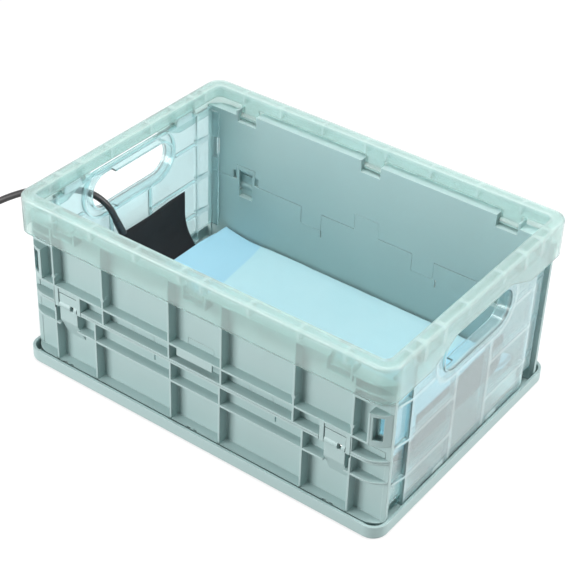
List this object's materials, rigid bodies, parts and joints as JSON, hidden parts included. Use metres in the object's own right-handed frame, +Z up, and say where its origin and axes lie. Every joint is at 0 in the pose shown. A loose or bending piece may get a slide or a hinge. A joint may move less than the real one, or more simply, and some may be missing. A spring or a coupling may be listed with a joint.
{
  "type": "brooder box",
  "caption": "Folding crate with ribbed split walls, milky rim and swing-up end panels with hand-holds, fitted with a heating pad and absorbent liner, its lead led out by a hand-hold.",
  "frame": {"origin": "middle of the underside of the base", "axes": "+X along the long walls, towards the right end; +Y towards the back wall; +Z up"},
  "size_m": [0.6873, 0.321, 0.196],
  "materials": {
    "crate_plastic": "satin, opaque grey-teal",
    "milky_plastic": "translucent, pale aqua",
    "hinge_pin": "bright wire",
    "pad_fabric": "black woven cover",
    "element_film": "printed film",
    "cutout_case": "matte",
    "liner_sheet": "soft non-woven, pale blue",
    "cord_jacket": "satin black",
    "tie": "matte black",
    "plug": "satin black",
    "plug_pin": "polished"
  },
  "bodies": {
    "crate": {"base_tray": "crate_plastic", "front_lower_wall": "crate_plastic", "front_upper_wall": "crate_plastic", "back_lower_wall": "crate_plastic", "back_upper_wall": "crate_plastic", "top_rim": "milky_plastic", "front_mid_hinge_pins": "hinge_pin", "front_base_hinge_pins": "hinge_pin", "front_rim_hinge_pins": "hinge_pin", "back_mid_hinge_pins": "hinge_pin", "back_base_hinge_pins": "hinge_pin", "back_rim_hinge_pins": "hinge_pin", "left_end_hinge_pins": "hinge_pin", "right_end_hinge_pins": "hinge_pin", "heating_pad_cover": "pad_fabric", "heating_element": "element_film", "thermal_cutout": "cutout_case", "absorbent_liner": "liner_sheet", "strain_relief": "cord_jacket", "supply_cord": "cord_jacket", "cord_coil": "cord_jacket", "coil_tie": "tie", "plug_body": "plug", "plug_pins": "plug_pin"},
    "left_end": {"left_end_panel": "milky_plastic"},
    "right_end": {"right_end_panel": "milky_plastic"}
  },
  "joints": [
    {"name": "left_end_swing", "type": "hinge", "parent": "crate", "child": "left_end", "pos_m": [-0.207, 0, 0.178], "axis": [0, -1, 0], "range_deg": [0, 90], "deforming": ["heating_pad_cover", "absorbent_liner", "strain_relief", "supply_cord"]},
    {"name": "right_end_swing", "type": "hinge", "parent": "crate", "child": "right_end", "pos_m": [0.207, 0, 0.178], "axis": [0, 1, 0], "range_deg": [0, 90], "deforming": ["heating_pad_cover", "absorbent_liner"]}
  ]
}
